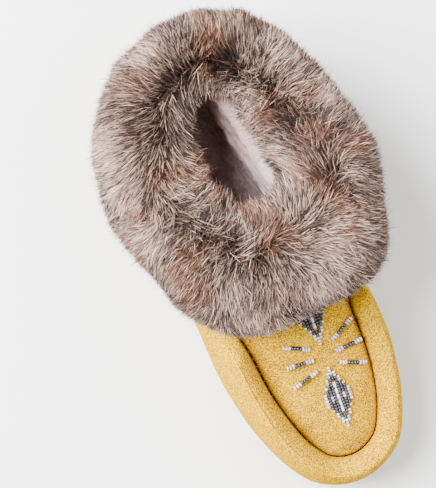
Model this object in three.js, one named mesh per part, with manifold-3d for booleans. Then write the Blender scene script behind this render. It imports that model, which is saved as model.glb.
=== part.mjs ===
// Moccasin slipper with a fur collar, either foot, standing empty on its sole.
// Millimetres, +Z up, toe towards -Y, floor at z = 0, origin under the middle of the foot.
import * as THREE from 'three';
import { mergeVertices } from 'three/addons/utils/BufferGeometryUtils.js';
import Module from 'manifold-3d';

const wasm = await Module();
wasm.setup();

// Last
const FOOT_LENGTH = 253.5;    // toe to heel over the widest line of the upper
const BALL_WIDTH = 92;        // across the ball, the same way
const TOE_HEIGHT = 42;        // crest of the rolled rim at the toe
const INSTEP_HEIGHT = 66;     // crest of the rim where the throat begins
const HEEL_HEIGHT = 70;       // topline over the heel
const THROAT_AT = 0.38;       // share of the length where the rim reaches the instep
const THROAT_END = 0.47;      // share of the length where the plug ends in the opening

// Leather
const WALL = 2.4;             // suede and its lining
const GAP = 0.3;              // clearance between neighbouring pieces
const RIM_WIDTH = 16.5;       // rolled rim in plan, widest line to plug seam
const COLLAR_LEAN = 11;       // the topline lies this far inside the widest line
const FOOT_INSET = 3.2;       // the wall meets the sole this far inside the widest line
const PLUG_THICKNESS = 2.4;
const PLUG_DROP = 3;          // middle of the plug below the crest of the rim
const PLUG_ROLL = 4;          // its edge rolls down this much further
const PLUG_ROLL_REACH = 14;   // over this distance from its edge
const BAND_THICKNESS = 1.2;   // quarter band round the heel
const TAB_WIDTH = 26;         // heel tab of the band, down the centre back
const SEAM_HEIGHT = 0.44;     // band's lower edge, share of the topline's height

// Sole
const SOLE_THICKNESS = 5;
const SOLE_INSET = 2.5;       // edge of the sole inside the widest line
const SOLE_EDGE = 1.4;        // rounding of the sole's edges
const INSOLE_THICKNESS = 4;
const TOE_SPRING = 6;         // rise of the sole at the toe tip
const ARCH_RISE = 2;          // rise of the sole under the waist
const HEEL_ROLL = 1.5;        // rise at the back of the heel

// Fur collar, a ring of pile folded over the topline
const FUR_CENTRE = [6, 66];   // middle of the hole in plan, a little to one side as the pile lies
const FUR_REACH = 94;         // from there to the pile's front edge
const FUR_HEIGHT = 80;        // middle line above the floor at the sides
const FUR_PITCH = 4.5;        // higher than that by this at the front, lower at the heel
const FUR_RISE_FRONT = 31.5;  // pile above the middle line at the front
const FUR_RISE_HEEL = 20;     // and at the heel
const FUR_DROP_FRONT = 27;    // pile below the middle line at the front
const FUR_DROP_HEEL = 22;     // and at the heel
const LOCK_LENGTH = 4;        // tips of the locks above the pile
const LOCK_COMB = 0.2;        // radians that a lock's tip is combed down round the section
const LOCKS_ROUND = 38;       // locks round the ring
const LOCKS_ACROSS = 10;      // locks round its section

// Beadwork on the plug
const PLUG_HALF = BALL_WIDTH / 2 - RIM_WIDTH;
const BEAD_HEIGHT = 1.7;
const BEAD_CENTRE = [0.156 * PLUG_HALF, -51.6];   // middle of the pattern, off the centre line
const BEAD_TURN = 4.7;              // the pattern's axis turns this many degrees
const DIAMOND_LENGTH = 36;
const DIAMOND_WIDTH = 15;
const DIAMOND_START = 6;            // nearest tip of each diamond from the middle
const RAY_LENGTH = 0.525 * PLUG_HALF;
const RAY_START = 0.21 * PLUG_HALF;   // inner ends of the rays from the pattern's axis
const RAY_STEP = 6.3;               // spacing of those ends along the axis
const RAY_WIDTH = 2;

const STATIONS = 36;          // round each half of the foot
const CELL = 5.5;             // spacing of the points on the plug and what lies on it
const PROFILE_STEPS = 6;      // along the wall below the band's edge, and as many above

// Half widths of the last as shares of half the ball width, at shares of the length from the toe
const OUTLINE = [
  { along: 0.009, half: 0.272 },
  { along: 0.035, half: 0.520 },
  { along: 0.078, half: 0.700 },
  { along: 0.146, half: 0.859 },
  { along: 0.246, half: 0.974 },
  { along: 0.376, half: 1.000 },
  { along: 0.531, half: 0.930 },
  { along: 0.684, half: 0.825 },
  { along: 0.819, half: 0.750 },
  { along: 0.905, half: 0.675 },
  { along: 0.959, half: 0.545 },
  { along: 0.988, half: 0.345 },
];

// Wall section at the rolled rim: share of the rim width inward, share of the height
const RIM_SECTION = [
  { inward: 0.18, up: 0.00 },
  { inward: 0.05, up: 0.12 },
  { inward: 0.00, up: 0.29 },
  { inward: 0.03, up: 0.51 },
  { inward: 0.13, up: 0.74 },
  { inward: 0.29, up: 0.93 },
  { inward: 0.46, up: 1.00 },
  { inward: 0.73, up: 0.96 },
  { inward: 0.95, up: 0.88 },
  { inward: 1.02, up: 0.78 },
];

// Wall section at the quarters: share of the lean inward, share of the height
const QUARTER_SECTION = [
  { inward: 0.29, up: 0.00 },
  { inward: 0.08, up: 0.11 },
  { inward: 0.00, up: 0.24 },
  { inward: 0.02, up: 0.37 },
  { inward: 0.10, up: 0.50 },
  { inward: 0.24, up: 0.62 },
  { inward: 0.42, up: 0.74 },
  { inward: 0.62, up: 0.84 },
  { inward: 0.82, up: 0.93 },
  { inward: 1.00, up: 1.00 },
];

// Collar in plan: shares of its reach to the inner and the outer edge, at degrees round it from +X
const FUR_PLAN = [
  { turn: 0, inside: 0.154, outside: 0.649 },
  { turn: 30, inside: 0.181, outside: 0.660 },
  { turn: 60, inside: 0.287, outside: 0.739 },
  { turn: 90, inside: 0.351, outside: 0.761 },
  { turn: 120, inside: 0.255, outside: 0.750 },
  { turn: 150, inside: 0.207, outside: 0.729 },
  { turn: 180, inside: 0.191, outside: 0.745 },
  { turn: 210, inside: 0.218, outside: 0.793 },
  { turn: 225, inside: 0.250, outside: 0.894 },
  { turn: 240, inside: 0.282, outside: 0.984 },
  { turn: 255, inside: 0.309, outside: 0.989 },
  { turn: 270, inside: 0.330, outside: 0.957 },
  { turn: 285, inside: 0.319, outside: 1.000 },
  { turn: 297, inside: 0.298, outside: 1.000 },
  { turn: 312, inside: 0.245, outside: 0.862 },
  { turn: 330, inside: 0.191, outside: 0.782 },
];

// Rays of beads on either side of the pattern: direction of the middle one from +X, spread between them
const RAY_SIDES = [
  { side: 'left', degrees: 169, spread: 20.5 },
  { side: 'right', degrees: -4, spread: 25.5 },
];

const mix = (a, b, share) => a + (b - a) * share;
const smooth = (from, to, value) => THREE.MathUtils.smoothstep(value, from, to);
const steps = (from, to, count) => Array.from({ length: count + 1 }, (_, i) => mix(from, to, i / count));

// Repeatable numbers between 0 and 1
function seeded(seed) {
  let state = seed;
  return () => {
    state = (state * 1664525 + 1013904223) % 4294967296;
    return state / 4294967296;
  };
}

// Smooth curve through knots [place, value]
function smoothCurve(knots) {
  const slope = knots.map((knot, i) => {
    const before = knots[Math.max(i - 1, 0)];
    const after = knots[Math.min(i + 1, knots.length - 1)];
    return (after[1] - before[1]) / (after[0] - before[0]);
  });
  return (place) => {
    let i = 0;
    while (i < knots.length - 2 && knots[i + 1][0] < place) i += 1;
    const span = knots[i + 1][0] - knots[i][0];
    const t = (place - knots[i][0]) / span;
    const start = (1 + 2 * t) * (1 - t) ** 2 * knots[i][1] + t * (1 - t) ** 2 * span * slope[i];
    const end = t * t * (3 - 2 * t) * knots[i + 1][1] + t * t * (t - 1) * span * slope[i + 1];
    return start + end;
  };
}

// Outline of the last. A place round it runs from 0 at the toe over +X to 1 at the heel and on to 2.
const shareAlong = (place) => (1 - Math.cos(Math.PI * place)) / 2;
const placeAlong = (share) => Math.acos(1 - 2 * share) / Math.PI;
const roundness = (() => {
  const knots = OUTLINE.map(({ along, half }) => {
    const place = placeAlong(along);
    return [place, half / Math.sin(Math.PI * place)];
  });
  const [first, last] = [knots[0], knots[knots.length - 1]];
  return smoothCurve([[-first[0], first[1]], ...knots, [2 - last[0], last[1]]]);
})();

function outline(place) {
  const mirrored = place > 1 ? 2 - place : place;
  const x = (BALL_WIDTH / 2) * Math.sin(Math.PI * place) * roundness(Math.abs(mirrored));
  return new THREE.Vector2(x, -(FOOT_LENGTH / 2) * Math.cos(Math.PI * place));
}

// A point of the outline moved inward
function inset(place, distance) {
  const nudge = 0.004;
  const ahead = outline(place + nudge).sub(outline(place - nudge)).normalize();
  return outline(place).sub(new THREE.Vector2(ahead.y, -ahead.x).multiplyScalar(distance));
}

// Underside of the sole: flat under forefoot and heel, sprung at the toe, raised at the waist
function floorHeight(y) {
  const along = y / FOOT_LENGTH + 0.5;
  const toe = Math.max(0, 1 - along / 0.17) ** 2;
  const waist = THREE.MathUtils.clamp((along - 0.54) / 0.2, 0, 1);
  const heel = Math.max(0, (along - 0.94) / 0.06) ** 2;
  return TOE_SPRING * toe + ARCH_RISE * Math.sin(Math.PI * waist) ** 2 + HEEL_ROLL * heel;
}
const soleTop = (y) => floorHeight(y) + SOLE_THICKNESS;

// Crest of the rim, then the topline
function crestHeight(along) {
  const rise = Math.min(along / THROAT_AT, 1) ** 1.2;
  const back = smooth(THROAT_AT, 1, along);
  return mix(TOE_HEIGHT, INSTEP_HEIGHT, rise) + (HEEL_HEIGHT - INSTEP_HEIGHT) * back;
}

// Outside of the upper at a place round the foot and a level from 0 at the sole to 1 at its edge
const sectionCurves = [RIM_SECTION, QUARTER_SECTION].map((rows) => {
  const knotsOf = (column) => rows.map((row, i) => [i / (rows.length - 1), row[column]]);
  return { inward: smoothCurve(knotsOf('inward')), up: smoothCurve(knotsOf('up')) };
});

function skin(place, level) {
  const along = shareAlong(place);
  const quarter = smooth(THROAT_AT - 0.04, THROAT_END + 0.03, along);
  const [rim, side] = sectionCurves;
  const inward = mix(rim.inward(level) * RIM_WIDTH, side.inward(level) * COLLAR_LEAN, quarter);
  const up = mix(rim.up(level), side.up(level), quarter);
  const base = soleTop(inset(place, FOOT_INSET).y) + GAP;
  const spot = inset(place, inward);
  return new THREE.Vector3(spot.x, spot.y, mix(base, crestHeight(along), up));
}

// A point off the outside of the upper, outward or inward
function offSkin(place, level, distance) {
  const nudge = 0.002;
  const round = skin(place + nudge, level).sub(skin(place - nudge, level));
  const rise = skin(place, level + nudge).sub(skin(place, level - nudge));
  return skin(place, level).addScaledVector(round.cross(rise).normalize(), distance);
}

// Closed sheet between two grids of points, for the cells that are kept
function sheet({ us, vs, ring = false, top, under, keep = () => true }) {
  const positions = [...us.flatMap((u) => vs.map((v) => top(u, v))),
    ...us.flatMap((u) => vs.map((v) => under(u, v)))].flatMap((p) => [p.x, p.y, p.z]);
  const across = ring ? us.length : us.length - 1;
  const isKept = (i, j) => {
    if (j < 0 || j >= vs.length - 1) return false;
    if (ring) return keep((i + across) % across, j);
    return i >= 0 && i < across && keep(i, j);
  };
  const at = (i, j, layer) => layer * us.length * vs.length + (i % us.length) * vs.length + j;
  const faces = [];
  const quad = (a, b, c, d) => faces.push(a, b, c, a, c, d);
  for (let i = 0; i < across; i += 1) {
    for (let j = 0; j < vs.length - 1; j += 1) {
      if (!isKept(i, j)) continue;
      const corner = (di, dj, layer) => at(i + di, j + dj, layer);
      quad(corner(0, 0, 0), corner(1, 0, 0), corner(1, 1, 0), corner(0, 1, 0));
      quad(corner(0, 0, 1), corner(0, 1, 1), corner(1, 1, 1), corner(1, 0, 1));
      const wall = (a, b) => quad(corner(...a, 1), corner(...b, 1), corner(...b, 0), corner(...a, 0));
      if (!isKept(i, j - 1)) wall([0, 0], [1, 0]);
      if (!isKept(i + 1, j)) wall([1, 0], [1, 1]);
      if (!isKept(i, j + 1)) wall([1, 1], [0, 1]);
      if (!isKept(i - 1, j)) wall([0, 1], [0, 0]);
    }
  }
  return toGeometry(positions, faces);
}

function toGeometry(positions, faces) {
  const geometry = new THREE.BufferGeometry();
  geometry.setAttribute('position', new THREE.Float32BufferAttribute(positions, 3));
  geometry.setIndex(faces);
  geometry.computeVertexNormals();
  return geometry;
}

// Loaf with its sides through rows of { inward, height(y) } and caps that run across the foot
function loaf(rows) {
  const places = steps(0, 2, STATIONS * 2).slice(0, -1);
  const count = places.length;
  const positions = rows.flatMap(({ inward, height }) => places.flatMap((place) => {
    const spot = inset(place, inward);
    return [spot.x, spot.y, height(spot.y)];
  }));
  const faces = [];
  const side = (a, b, c, d) => faces.push(a, b, c, a, c, d);
  for (let row = 0; row < rows.length - 1; row += 1) {
    for (let i = 0; i < count; i += 1) {
      const next = (i + 1) % count;
      side(row * count + i, row * count + next, (row + 1) * count + next, (row + 1) * count + i);
    }
  }
  const last = (rows.length - 1) * count;
  for (let i = 0; i < STATIONS; i += 1) {
    const strip = [i, i + 1, (count - i - 1) % count, (count - i) % count];
    const corners = [...new Set(strip)];
    for (let k = 1; k < corners.length - 1; k += 1) {
      faces.push(corners[0], corners[k + 1], corners[k]);
      faces.push(last + corners[0], last + corners[k], last + corners[k + 1]);
    }
  }
  return toGeometry(positions, faces);
}

// Booleans
function toSolid(geometry) {
  const bare = geometry.clone();
  bare.deleteAttribute('normal');
  bare.deleteAttribute('uv');
  const merged = mergeVertices(bare, 1e-4);
  return new wasm.Manifold(new wasm.Mesh({
    numProp: 3,
    vertProperties: new Float32Array(merged.attributes.position.array),
    triVerts: new Uint32Array(merged.index.array),
  }));
}

function fromSolid(solid) {
  const mesh = solid.getMesh();
  return toGeometry(Array.from(mesh.vertProperties), Array.from(mesh.triVerts));
}

const largestBody = (solid) => solid.decompose().sort((a, b) => b.volume() - a.volume())[0];

// Upright prism on a plan shape, taller than the shoe
function prism(points) {
  const shape = new THREE.Shape(points.map(([x, y]) => new THREE.Vector2(x, y)));
  const height = 2 * (INSTEP_HEIGHT + HEEL_HEIGHT);
  return toSolid(new THREE.ExtrudeGeometry(shape, { depth: height, bevelEnabled: false }));
}

// Places round the foot, with a narrow pair of columns at each edge of the heel tab
const tabShare = (() => {
  let place = 1;
  while (outline(place).x < TAB_WIDTH / 2) place -= 0.001;
  return 1 - place;
})();
const evenPlaces = steps(0, 2, STATIONS * 2).slice(0, -1);
const roundPlaces = evenPlaces
  .map((place) => {
    const edge = [1 - tabShare, 1 + tabShare].find((spot) => Math.abs(place - spot) < 0.5 / STATIONS);
    return edge ?? place;
  });

// Levels of the wall, with one at the band's lower edge
const seamLevel = (() => {
  const { up } = sectionCurves[1];
  let level = 0;
  while (up(level) < SEAM_HEIGHT) level += 0.001;
  return level;
})();
const levels = [...steps(0, seamLevel, PROFILE_STEPS), ...steps(seamLevel, 1, PROFILE_STEPS).slice(1)];

// Plug: the panel set into the rim, from the toe to the throat
const throatStation = Math.round(placeAlong(THROAT_END) * STATIONS);
const throatPlace = throatStation / STATIONS;
const plugPlaces = steps(-throatPlace, throatPlace, 2 * throatStation);
const rimEdge = plugPlaces.map((place) => {
  const side = Math.abs(place);
  const inwardOf = (point) => outline(side).distanceTo(new THREE.Vector2(point.x, point.y));
  const [edge] = [skin(side, 1), offSkin(side, 1, -WALL)].sort((a, b) => inwardOf(b) - inwardOf(a));
  return new THREE.Vector3(Math.sign(place) * edge.x, edge.y, crestHeight(shareAlong(side)));
});
const plugOutline = rimEdge.map((edge, i) => {
  const before = rimEdge[Math.max(i - 1, 0)];
  const after = rimEdge[Math.min(i + 1, rimEdge.length - 1)];
  const ahead = new THREE.Vector2(after.x - before.x, after.y - before.y).normalize();
  return [edge.x - ahead.y * GAP, edge.y + ahead.x * GAP];
});
const rimRise = smoothCurve(rimEdge.slice(throatStation).map((edge) => [edge.y, edge.z]));

// Distance inside the plug's edge, negative beyond it
function edgeDistance(x, y) {
  let nearest = Infinity;
  let side = 1;
  for (let i = 1; i < plugOutline.length; i += 1) {
    const [start, end] = [plugOutline[i - 1], plugOutline[i]];
    const [dx, dy] = [end[0] - start[0], end[1] - start[1]];
    const along = ((x - start[0]) * dx + (y - start[1]) * dy) / (dx * dx + dy * dy);
    const t = THREE.MathUtils.clamp(along, 0, 1);
    const distance = Math.hypot(x - start[0] - t * dx, y - start[1] - t * dy);
    if (distance < nearest) {
      nearest = distance;
      side = Math.sign(dx * (y - start[1]) - dy * (x - start[0]));
    }
  }
  return nearest * side;
}

const toeEdge = rimEdge[throatStation].y;
function plugHeight(x, y) {
  const rim = rimRise(Math.max(y, toeEdge));
  const inside = Math.min(edgeDistance(x, y) / PLUG_ROLL_REACH, 1);
  return rim - PLUG_DROP - PLUG_ROLL * (1 - inside) ** 2;
}

// Sheet that follows the plug, cut to a plan shape. All such sheets share one grid of points.
function onPlug({ points, top, under }) {
  const xs = points.map(([x]) => x);
  const ys = points.map(([, y]) => y);
  const spread = (values) => {
    const low = Math.floor(Math.min(...values) / CELL - 0.1);
    const high = Math.ceil(Math.max(...values) / CELL + 0.1);
    return steps(low * CELL, high * CELL, high - low);
  };
  const grid = sheet({
    us: spread(xs),
    vs: spread(ys),
    top: (x, y) => new THREE.Vector3(x, y, top(x, y)),
    under: (x, y) => new THREE.Vector3(x, y, under(x, y)),
  });
  return toSolid(grid).intersect(prism(points));
}

const plug = () => fromSolid(onPlug({
  points: plugOutline,
  top: plugHeight,
  under: (x, y) => plugHeight(x, y) - PLUG_THICKNESS,
}));

// Beads sewn in a flat motif: a plan shape raised off the plug
const beadwork = (points) => fromSolid(onPlug({
  points,
  top: (x, y) => plugHeight(x, y) + GAP + BEAD_HEIGHT,
  under: (x, y) => plugHeight(x, y) + GAP,
}));

// Plan points given as [distance out, sideways] from a spot, turned to a direction
function turned(points, degrees, spot) {
  const turn = THREE.MathUtils.degToRad(degrees);
  const [cos, sin] = [Math.cos(turn), Math.sin(turn)];
  return points.map(([away, aside]) => [
    spot[0] + away * cos - aside * sin,
    spot[1] + away * sin + aside * cos,
  ]);
}
const fromMiddle = (points, degrees) => turned(points, degrees, BEAD_CENTRE);

const FRONT_DIAMOND = -90 - BEAD_TURN;
const BACK_DIAMOND = 90 - BEAD_TURN;
function diamond(degrees, margin = 0) {
  const middle = DIAMOND_START + DIAMOND_LENGTH / 2;
  const half = DIAMOND_WIDTH / 2 + margin;
  const [start, end] = [DIAMOND_START - margin, DIAMOND_START + DIAMOND_LENGTH + margin];
  return fromMiddle([[start, 0], [middle, -half], [end, 0], [middle, half]], degrees);
}

// The step counts up the pattern's axis: 1, 0 or -1
function ray(side, step) {
  const outward = side.side === 'left' ? 180 : 0;
  const [start] = fromMiddle([[RAY_START, 0]], outward - BEAD_TURN);
  const axis = THREE.MathUtils.degToRad(BACK_DIAMOND);
  const towards = outward === 0 ? step * side.spread : -step * side.spread;
  const shift = [Math.cos(axis), Math.sin(axis)].map((share) => share * step * RAY_STEP);
  const half = RAY_WIDTH / 2;
  const bar = [[0, -half], [RAY_LENGTH, -half], [RAY_LENGTH, half], [0, half]];
  return turned(bar, side.degrees + towards, [start[0] + shift[0], start[1] + shift[1]]);
}

// Upper: one hollow wall, from the sole over the rolled rim, open at the collar
const bodyGrid = { us: roundPlaces, vs: levels, ring: true };
const upper = () => sheet({
  ...bodyGrid,
  top: skin,
  under: (place, level) => offSkin(place, level, -WALL),
});

// Quarter band: over the rear of the upper above the seam, with a tab down the heel
const bandFront = THROAT_END + 0.02;
const tabBottom = 1;
function inBand(i, j) {
  const place = (roundPlaces[i] + (roundPlaces[i + 1] ?? 2)) / 2;
  const aboveSeam = j >= PROFILE_STEPS && j < levels.length - 3;
  const onTab = Math.abs(place - 1) < tabShare && j >= tabBottom;
  return shareAlong(place) > bandFront && (aboveSeam || onTab) && j < levels.length - 3;
}

const quarterBand = () => sheet({
  ...bodyGrid,
  keep: inBand,
  top: (place, level) => offSkin(place, level, GAP + BAND_THICKNESS),
  under: (place, level) => offSkin(place, level, GAP),
});

// Reach to an edge of the collar at any turn round it
const [furInside, furOutside] = ['inside', 'outside'].map((edge) => {
  const knots = [-360, 0, 360].flatMap((lap) => FUR_PLAN.map((row) => [row.turn + lap, row[edge]]));
  const share = smoothCurve(knots);
  return (turn) => FUR_REACH * share(THREE.MathUtils.radToDeg(turn));
});

// Collar: a ring of fur. Round the section a lap of 0 faces out, a quarter turn faces up.
function furPoint(turn, lap, proud) {
  const [cos, sin] = [Math.cos(turn), Math.sin(turn)];
  const front = (1 - sin) / 2;
  const up = mix(FUR_RISE_HEEL, FUR_RISE_FRONT, front);
  const down = mix(FUR_DROP_HEEL, FUR_DROP_FRONT, front);
  const middle = (furOutside(turn) + furInside(turn)) / 2;
  const half = (furOutside(turn) - furInside(turn)) / 2;
  const reach = middle + (half + proud) * Math.cos(lap);
  const rise = Math.sin(lap) * ((Math.sin(lap) > 0 ? up : down) + proud);
  return new THREE.Vector3(
    FUR_CENTRE[0] + reach * cos,
    FUR_CENTRE[1] + reach * sin,
    FUR_HEIGHT - FUR_PITCH * sin + rise,
  );
}

// Staggered pointed locks, each with its tip combed downward
function furRing() {
  const random = seeded(7);
  const [round, across] = [LOCKS_ROUND * 2, LOCKS_ACROSS * 2];
  const isTip = (i, j) => j % 2 === 0 && (i + (j % 4) / 2) % 2 === 0;
  const positions = [];
  for (let i = 0; i < round; i += 1) {
    for (let j = 0; j < across; j += 1) {
      const lap = (j / across) * Math.PI * 2;
      const [least, most] = isTip(i, j) ? [0.5, 1.1] : [-0.4, 0.2];
      const proud = LOCK_LENGTH * mix(least, most, random());
      const combed = isTip(i, j) ? lap - LOCK_COMB * Math.cos(lap) : lap;
      const spot = furPoint((i / round) * Math.PI * 2, combed, proud);
      positions.push(spot.x, spot.y, spot.z);
    }
  }
  const faces = [];
  for (let i = 0; i < round; i += 1) {
    for (let j = 0; j < across; j += 1) {
      const at = (di, dj) => ((i + di) % round) * across + ((j + dj) % across);
      const [a, b, c, d] = [at(0, 0), at(1, 0), at(1, 1), at(0, 1)];
      if (isTip(i, j) || isTip(i + 1, j + 1)) faces.push(a, b, c, a, c, d);
      else faces.push(a, b, d, b, c, d);
    }
  }
  return toSolid(toGeometry(positions, faces));
}

// Space that the leather and the beads take inside the fur, with clearance
function leatherInFur() {
  const proud = (place, level) => {
    const along = shareAlong(place);
    const banded = smooth(bandFront - 0.03, bandFront - 0.01, along);
    return offSkin(place, level, GAP + banded * (BAND_THICKNESS + GAP));
  };
  const pastEdge = 1.01;
  const wall = toSolid(sheet({
    ...bodyGrid,
    vs: [...levels, pastEdge],
    top: proud,
    under: (place, level) => offSkin(place, level, -WALL - GAP),
  }));
  const forefoot = plugPlaces.map((place) => {
    const spot = inset(Math.abs(place), WALL);
    return [Math.sign(place) * spot.x, spot.y];
  });
  const filling = onPlug({
    points: forefoot,
    top: (x, y) => plugHeight(x, y) + GAP,
    under: () => 0,
  });
  const beads = onPlug({
    points: diamond(BACK_DIAMOND, 3 * GAP),
    top: (x, y) => plugHeight(x, y) + GAP + BEAD_HEIGHT + GAP,
    under: () => 0,
  });
  return wall.add(filling).add(beads);
}

const furCollar = () => fromSolid(largestBody(furRing().subtract(leatherInFur())));

// Outsole: true outline with rounded edges
const outsole = () => loaf([
  { inward: SOLE_INSET + SOLE_EDGE, height: floorHeight },
  { inward: SOLE_INSET, height: (y) => floorHeight(y) + SOLE_EDGE },
  { inward: SOLE_INSET, height: soleTop },
]);

// Insole: a flat pad inside the foot of the wall
const insoleInset = FOOT_INSET + WALL + GAP;
const insole = () => loaf([
  { inward: insoleInset, height: (y) => soleTop(y) + GAP },
  { inward: insoleInset, height: (y) => soleTop(y) + GAP + INSOLE_THICKNESS },
]);

const FINISHES = {
  suede: { color: 0xd9b36b, roughness: 0.95, metalness: 0 },
  soleSuede: { color: 0xcfa660, roughness: 0.95, metalness: 0 },
  pile: { color: 0xe2dad4, roughness: 1, metalness: 0 },
  fur: { color: 0x9a8478, roughness: 1, metalness: 0 },
  beads: { color: 0x8a8c96, roughness: 0.3, metalness: 0.1 },
};

const slipper = new THREE.Group();
function place(name, geometry, finish) {
  const mesh = new THREE.Mesh(geometry, new THREE.MeshStandardMaterial(FINISHES[finish]));
  mesh.name = name;
  slipper.add(mesh);
}

place('outsole', outsole(), 'soleSuede');
place('insole', insole(), 'pile');
place('upper', upper(), 'suede');
place('plug', plug(), 'suede');
place('quarter_band', quarterBand(), 'suede');
place('fur_collar', furCollar(), 'fur');
place('bead_diamond_front', beadwork(diamond(FRONT_DIAMOND)), 'beads');
place('bead_diamond_back', beadwork(diamond(BACK_DIAMOND)), 'beads');
for (const side of RAY_SIDES) {
  for (const step of [1, 0, -1]) {
    place(`bead_ray_${side.side}_${2 - step}`, beadwork(ray(side, step)), 'beads');
  }
}

export default slipper;
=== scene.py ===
import bpy
import numpy as np
from mathutils import Matrix, Vector


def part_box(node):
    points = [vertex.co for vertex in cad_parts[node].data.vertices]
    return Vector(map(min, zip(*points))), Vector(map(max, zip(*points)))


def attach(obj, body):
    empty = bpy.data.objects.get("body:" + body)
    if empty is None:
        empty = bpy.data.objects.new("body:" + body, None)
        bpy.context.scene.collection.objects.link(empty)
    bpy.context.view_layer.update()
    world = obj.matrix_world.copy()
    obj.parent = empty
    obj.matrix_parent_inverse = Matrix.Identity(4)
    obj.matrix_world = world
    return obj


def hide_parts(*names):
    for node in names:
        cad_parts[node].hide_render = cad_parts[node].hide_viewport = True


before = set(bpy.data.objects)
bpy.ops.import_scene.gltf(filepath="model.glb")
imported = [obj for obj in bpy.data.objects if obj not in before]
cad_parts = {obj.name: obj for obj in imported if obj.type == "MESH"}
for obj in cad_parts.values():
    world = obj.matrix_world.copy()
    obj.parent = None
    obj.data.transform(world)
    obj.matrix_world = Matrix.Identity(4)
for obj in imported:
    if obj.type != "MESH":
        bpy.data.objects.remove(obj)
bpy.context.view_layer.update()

MM = 0.001

# Camera: the photograph looks down at the slipper, toe to the lower right
CAMERA_AZIMUTH = -113.43
CAMERA_ELEVATION = 81.80
CAMERA_ROLL = 86.34
CAMERA_DISTANCE = 837.6
CAMERA_TARGET = (-16.6, 24.65, 40)
CAMERA_LENS = 116.72

# Light
KEY_TOWARDS = (-0.78, 0.70, 1.15)
KEY_DISTANCE = 1100
KEY_SIZE = 800
KEY_POWER = 80
FILL_TOWARDS = (0.9, -0.5, 1.0)
FILL_POWER = 12
SKY_STRENGTH = 0.85
FLOOR_HALF = 3000
FAR_CLIP = 100

# Last, as in the solids
upper_low, upper_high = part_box("upper")
FOOT_LENGTH = (upper_high.y - upper_low.y) / MM
BALL_WIDTH = 92
TOE_HEIGHT = 42
INSTEP_HEIGHT = 66
HEEL_HEIGHT = upper_high.z / MM
THROAT_AT = 0.38
THROAT_END = 0.47
THROAT_PLACE = 17 / 36

# Leather
WALL = 2.4
GAP = 0.3
RIM_WIDTH = 16.5
COLLAR_LEAN = 11
FOOT_INSET = 3.2
PLUG_THICKNESS = 2.4
PLUG_DROP = 3
PLUG_ROLL = 4
PLUG_ROLL_REACH = 14
PLUG_EDGE_RADIUS = 4.2
PLUG_STEPS = 110
BAND_THICKNESS = 1.2
BAND_FRONT = 0.49
BAND_TOP = 0.88
TAB_WIDTH = 26
SEAM_HEIGHT = 0.44
RIDGE_LEVEL = 0.655
RIDGE_HEIGHT = 0.9
RIDGE_HALF = 0.9
RIDGE_OUTER = 0.1
# Strength of the painted highlight along the ridge
RIDGE_HIGHLIGHT = 0.4
RIM_GIRTH = 75
UNDULATION = 0.3

# Plug's seam: share of its depth at the toe, Y where it starts to deepen and where it is full, on
# either side, and the X over which one side passes into the other
SEAM_LEFT = (0.25, -112, -80)
SEAM_RIGHT = (0.2, -86, -38)
INNER_SIDE = (2, -8)

# Sole
SOLE_THICKNESS = 5
SOLE_INSET = 2.5
SOLE_EDGE = 1.8
INSOLE_THICKNESS = 4
TOE_SPRING = 6
ARCH_RISE = 2
HEEL_ROLL = 1.5

# Pile of the lining: its depths low and high, and the fillet that it makes with the footbed
LINING_FRONT = 0.40
PILE_DEPTHS = (15.5, 5.5)
TUFT_HEIGHT = 1.9
CORNER_HEIGHT = 26
CORNER_REACH = 12

# Fur collar
FUR_CENTRE = (6, 66)
FUR_REACH = 94
FUR_HEIGHT = 80
FUR_PITCH = 4.5
FUR_RISE_FRONT = 31.5
FUR_RISE_HEEL = 20
FUR_DROP_FRONT = 27
FUR_DROP_HEEL = 22
ROOT_DEPTH = 8.5
HAIRS = 170000
HAIR_SECTORS = 4
HAIR_LENGTH = 15
HAIR_WIDTH = 0.46
HAIR_PROUD = 2.4
STRAY_SHARE = 0.11
STRAY_REACH = 5.4
PATCH_SOFTNESS = 0.62

# Clumps of hair: their spacing, and the ring's mean radius and half reach, which they are spread over
CLUMP_SPACING = 3.2
FUR_MIDDLE = 47
FUR_HALF = 26

# In degrees: laps that hairs stand on, their lean at the parting and away from it, the parting's
# width, and how far the parting and the swerve waver
HAIR_LAPS = (-88, 222)
HAIR_LEANS = (36, 60)
PARTING_WIDTH = 17
PARTING_WAVER = 38
SWERVE_WAVER = 80

# Beadwork
BEAD_CENTRE = (4.6, -51.6)
BEAD_TURN = 4.7
DIAMOND_LENGTH = 36
DIAMOND_WIDTH = 15
DIAMOND_START = 6
DIAMOND_COLUMNS = 9
RAY_LENGTH = 15.5
RAY_START = 6.2
RAY_STEP = 6.3
BEAD_RADIUS = 0.85
BEAD_LENGTH = 1.3
BEAD_PITCH = 1.62
RAY_BEADS = 10
RAY_BEAD_RADIUS = 1.28
BUGLE_LENGTH = 3.3
RAY_PALE = 3

# Pale beads at either end of a diamond's columns, from the middle one outward, and kinds of bead
PALE_ENDS = (3, 2, 2, 1, 9)
WHITE, NIGHT, BUGLE, CORE = range(4)

# Stitches
STITCH_LENGTH = 3.4
STITCH_GAP = 1.7
STITCH_RADIUS = 0.32
WHIP_PITCH = 4.6
WHIP_LENGTH = 2.6
WHIP_RADIUS = 0.3

# Plan of the last: shares of its length and of its half width
OUTLINE = (
    (0.009, 0.272), (0.035, 0.520), (0.078, 0.700), (0.146, 0.859), (0.246, 0.974), (0.376, 1.000),
    (0.531, 0.930), (0.684, 0.825), (0.819, 0.750), (0.905, 0.675), (0.959, 0.545), (0.988, 0.345),
)

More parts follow.
